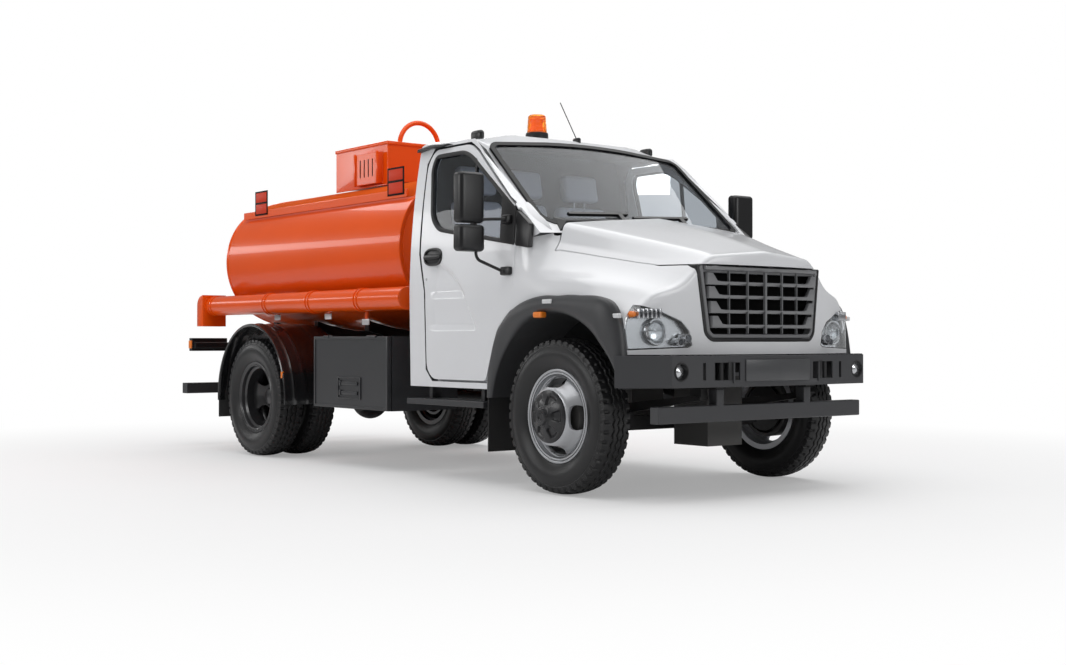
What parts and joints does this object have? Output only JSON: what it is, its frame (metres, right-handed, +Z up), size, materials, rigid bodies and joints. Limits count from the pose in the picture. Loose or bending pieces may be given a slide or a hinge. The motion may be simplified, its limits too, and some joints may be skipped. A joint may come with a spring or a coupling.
{
  "type": "tanker truck",
  "caption": "Two-axle bonneted tanker truck: chassis with a cab, steered front wheels, twin rear wheels and an oval tank with a filler housing and hose tubes.",
  "frame": {"origin": "on the ground under the middle of the overall box", "axes": "+Z up, -Y towards the nose, +X to the truck's left"},
  "size_m": [2.636, 6.107, 2.75],
  "materials": {
    "cab_white": "gloss white paint",
    "tank_orange": "gloss orange paint",
    "plate_orange": "satin orange with a black border",
    "trim_black": "satin black plastic",
    "trim_grey": "satin dark grey plastic",
    "bumper_grey": "satin dark grey paint",
    "grille_grey": "satin dark grey plastic",
    "chassis_black": "satin black paint",
    "box_black": "satin black paint",
    "engine_iron": "bare casting",
    "radiator_alloy": "matt",
    "wheel_silver": "silver paint",
    "wheel_dark": "satin dark paint",
    "tyre": "matt rubber",
    "flap_rubber": "matt rubber",
    "window_glass": "clear tinted glass",
    "lamp_glass": "clear lens over a bright reflector",
    "lamp_red": "red lens",
    "beacon_amber": "amber lens",
    "seat_fabric": "grey woven",
    "dash_plastic": "grained dark plastic"
  },
  "bodies": {
    "chassis": {"cab_shell": "cab_white", "front_body": "cab_white", "cowl_panel": "trim_black", "windscreen": "window_glass", "wheel_arch_flares": "trim_grey", "grille": "grille_grey", "headlamps": "lamp_glass", "front_bumper": "bumper_grey", "front_underrun_bar": "bumper_grey", "front_mudflaps": "flap_rubber", "cab_steps": "chassis_black", "wipers": "trim_black", "beacon": "beacon_amber", "roof_markers": "lamp_glass", "antenna": "trim_black", "seats": "seat_fabric", "dashboard": "dash_plastic", "steering_wheel": "dash_plastic", "frame_rails": "chassis_black", "leaf_springs": "chassis_black", "front_axle": "chassis_black", "rear_axle": "chassis_black", "engine_block": "engine_iron", "prop_shaft": "chassis_black", "radiator": "radiator_alloy", "tank_shell": "tank_orange", "tank_saddles": "chassis_black", "tank_rails": "tank_orange", "neck_housing": "tank_orange", "vent_pipe": "tank_orange", "hose_tubes": "tank_orange", "hazard_plates": "plate_orange", "discharge_outlet": "tank_orange", "toolbox": "box_black", "fuel_tank": "box_black", "rear_mudguards": "trim_black", "rear_underrun_bar": "chassis_black", "rear_lamps": "lamp_red"},
    "bonnet": {"bonnet": "cab_white"},
    "toolbox_lid": {"toolbox_door": "box_black"},
    "door_right": {"door_right": "cab_white", "door_glass_right": "window_glass", "mirror_right": "trim_black"},
    "door_left": {"door_left": "cab_white", "door_glass_left": "window_glass", "mirror_left": "trim_black"},
    "knuckle_right": {"knuckle_right": "chassis_black"},
    "knuckle_left": {"knuckle_left": "chassis_black"},
    "front_wheel_right": {"wheel_front_right": "wheel_silver", "tyre_front_right": "tyre"},
    "front_wheel_left": {"wheel_front_left": "wheel_silver", "tyre_front_left": "tyre"},
    "rear_wheels_right": {"wheels_rear_right": "wheel_dark", "tyres_rear_right": "tyre"},
    "rear_wheels_left": {"wheels_rear_left": "wheel_dark", "tyres_rear_left": "tyre"}
  },
  "joints": [
    {"name": "front_wheel_right_spin", "type": "hinge", "parent": "knuckle_right", "child": "front_wheel_right", "pos_m": [-0.899, -2.1465, 0.475], "axis": [1, 0, 0], "continuous": true},
    {"name": "rear_wheels_right_spin", "type": "hinge", "parent": "chassis", "child": "rear_wheels_right", "pos_m": [-0.851, 1.6235, 0.475], "axis": [1, 0, 0], "continuous": true},
    {"name": "steer_right", "type": "hinge", "parent": "chassis", "child": "knuckle_right", "pos_m": [-0.78, -2.1465, 0.475], "axis": [0, 0, 1], "range_deg": [-32, 32]},
    {"name": "door_right_hinge", "type": "hinge", "parent": "chassis", "child": "door_right", "pos_m": [-1.01, -1.7415, 1.25], "axis": [0, 0, 1], "range_deg": [0, 65]},
    {"name": "front_wheel_left_spin", "type": "hinge", "parent": "knuckle_left", "child": "front_wheel_left", "pos_m": [0.899, -2.1465, 0.475], "axis": [1, 0, 0], "continuous": true},
    {"name": "rear_wheels_left_spin", "type": "hinge", "parent": "chassis", "child": "rear_wheels_left", "pos_m": [0.851, 1.6235, 0.475], "axis": [1, 0, 0], "continuous": true},
    {"name": "steer_left", "type": "hinge", "parent": "chassis", "child": "knuckle_left", "pos_m": [0.78, -2.1465, 0.475], "axis": [0, 0, 1], "range_deg": [-32, 32]},
    {"name": "door_left_hinge", "type": "hinge", "parent": "chassis", "child": "door_left", "pos_m": [1.01, -1.7415, 1.25], "axis": [0, 0, -1], "range_deg": [0, 65]},
    {"name": "bonnet_hinge", "type": "hinge", "parent": "chassis", "child": "bonnet", "pos_m": [0, -2.0015, 1.655], "axis": [-1, 0, 0], "range_deg": [0, 45]},
    {"name": "toolbox_lid_hinge", "type": "hinge", "parent": "chassis", "child": "toolbox_lid", "pos_m": [-1.05, 0.1835, 0.963], "axis": [0, 1, 0], "range_deg": [0, 100]}
  ],
  "couplings": [
    {"joint": "steer_left", "follows": "steer_right", "ratio": 1}
  ]
}
